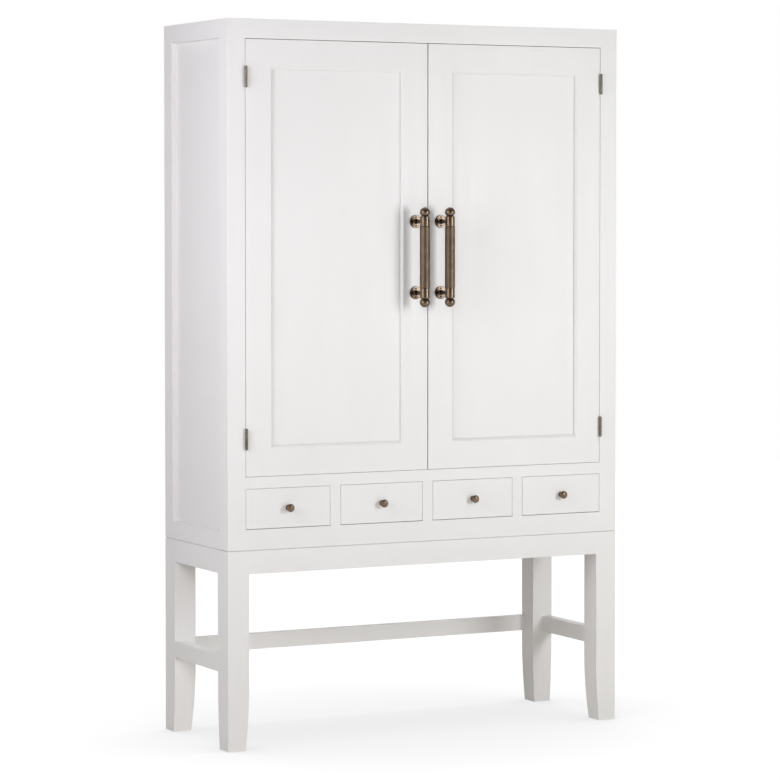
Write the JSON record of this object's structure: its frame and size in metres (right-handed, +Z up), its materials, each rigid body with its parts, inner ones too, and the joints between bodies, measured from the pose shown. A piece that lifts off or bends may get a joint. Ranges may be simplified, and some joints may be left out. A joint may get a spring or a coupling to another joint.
{
  "type": "china cabinet",
  "caption": "Tall white-painted cupboard on an open stand: panelled doors with long bar handles over a row of small drawers.",
  "frame": {"origin": "on the floor, under the middle of the whole cabinet with its handles", "axes": "+X to the right seen from the front, +Y from the doors to the back, +Z up"},
  "size_m": [1.2, 0.4954, 1.9503],
  "materials": {
    "white_paint": "warm white satin paint on wood, faint brush marks",
    "bare_wood": "pale bare hardwood, sanded, unfinished",
    "antique_bronze": "dark patinated bronze, rubbed lighter on the edges",
    "aged_brass": "aged brass with a brown patina"
  },
  "bodies": {
    "case": {"apron_back": "white_paint", "apron_front": "white_paint", "apron_left": "white_paint", "apron_right": "white_paint", "back_panel": "white_paint", "back_rail_top": "white_paint", "cupboard_floor": "white_paint", "drawer_deck": "white_paint", "face_rail_bottom": "white_paint", "face_rail_middle": "white_paint", "face_rail_top": "white_paint", "hinge_case_leaf_left_lower": "aged_brass", "hinge_case_leaf_left_upper": "aged_brass", "hinge_case_leaf_right_lower": "aged_brass", "hinge_case_leaf_right_upper": "aged_brass", "leg_back_left": "white_paint", "leg_back_right": "white_paint", "leg_front_left": "white_paint", "leg_front_right": "white_paint", "partition_1": "white_paint", "partition_2": "white_paint", "partition_3": "white_paint", "post_back_left": "white_paint", "post_back_right": "white_paint", "post_front_left": "white_paint", "post_front_right": "white_paint", "shelf_1": "white_paint", "shelf_2": "white_paint", "side_panel_left": "white_paint", "side_panel_right": "white_paint", "side_rail_bottom_left": "white_paint", "side_rail_bottom_right": "white_paint", "side_rail_top_left": "white_paint", "side_rail_top_right": "white_paint", "stretcher_back": "white_paint", "stretcher_left": "white_paint", "stretcher_right": "white_paint", "top_panel": "white_paint"},
    "door_left": {"door_frame_left": "white_paint", "door_panel_left": "white_paint", "handle_left": "antique_bronze", "hinge_door_leaf_left_lower": "aged_brass", "hinge_door_leaf_left_upper": "aged_brass"},
    "door_right": {"door_frame_right": "white_paint", "door_panel_right": "white_paint", "handle_right": "antique_bronze", "hinge_door_leaf_right_lower": "aged_brass", "hinge_door_leaf_right_upper": "aged_brass"},
    "drawer_1": {"drawer_box_1": "bare_wood", "drawer_front_1": "white_paint", "drawer_knob_1": "antique_bronze"},
    "drawer_2": {"drawer_box_2": "bare_wood", "drawer_front_2": "white_paint", "drawer_knob_2": "antique_bronze"},
    "drawer_3": {"drawer_box_3": "bare_wood", "drawer_front_3": "white_paint", "drawer_knob_3": "antique_bronze"},
    "drawer_4": {"drawer_box_4": "bare_wood", "drawer_front_4": "white_paint", "drawer_knob_4": "antique_bronze"}
  },
  "joints": [
    {"name": "door_left_swing", "type": "hinge", "parent": "case", "child": "door_left", "pos_m": [-0.54675, -0.18275, 1.31505], "axis": [0, 0, -1], "range_deg": [0, 170]},
    {"name": "door_right_swing", "type": "hinge", "parent": "case", "child": "door_right", "pos_m": [0.54675, -0.18275, 1.31505], "axis": [0, 0, 1], "range_deg": [0, 170]},
    {"name": "drawer_1_slide", "type": "slide", "parent": "case", "child": "drawer_1", "axis": [0, -1, 0], "range_m": [0, 0.26]},
    {"name": "drawer_2_slide", "type": "slide", "parent": "case", "child": "drawer_2", "axis": [0, -1, 0], "range_m": [0, 0.26]},
    {"name": "drawer_3_slide", "type": "slide", "parent": "case", "child": "drawer_3", "axis": [0, -1, 0], "range_m": [0, 0.26]},
    {"name": "drawer_4_slide", "type": "slide", "parent": "case", "child": "drawer_4", "axis": [0, -1, 0], "range_m": [0, 0.26]}
  ]
}
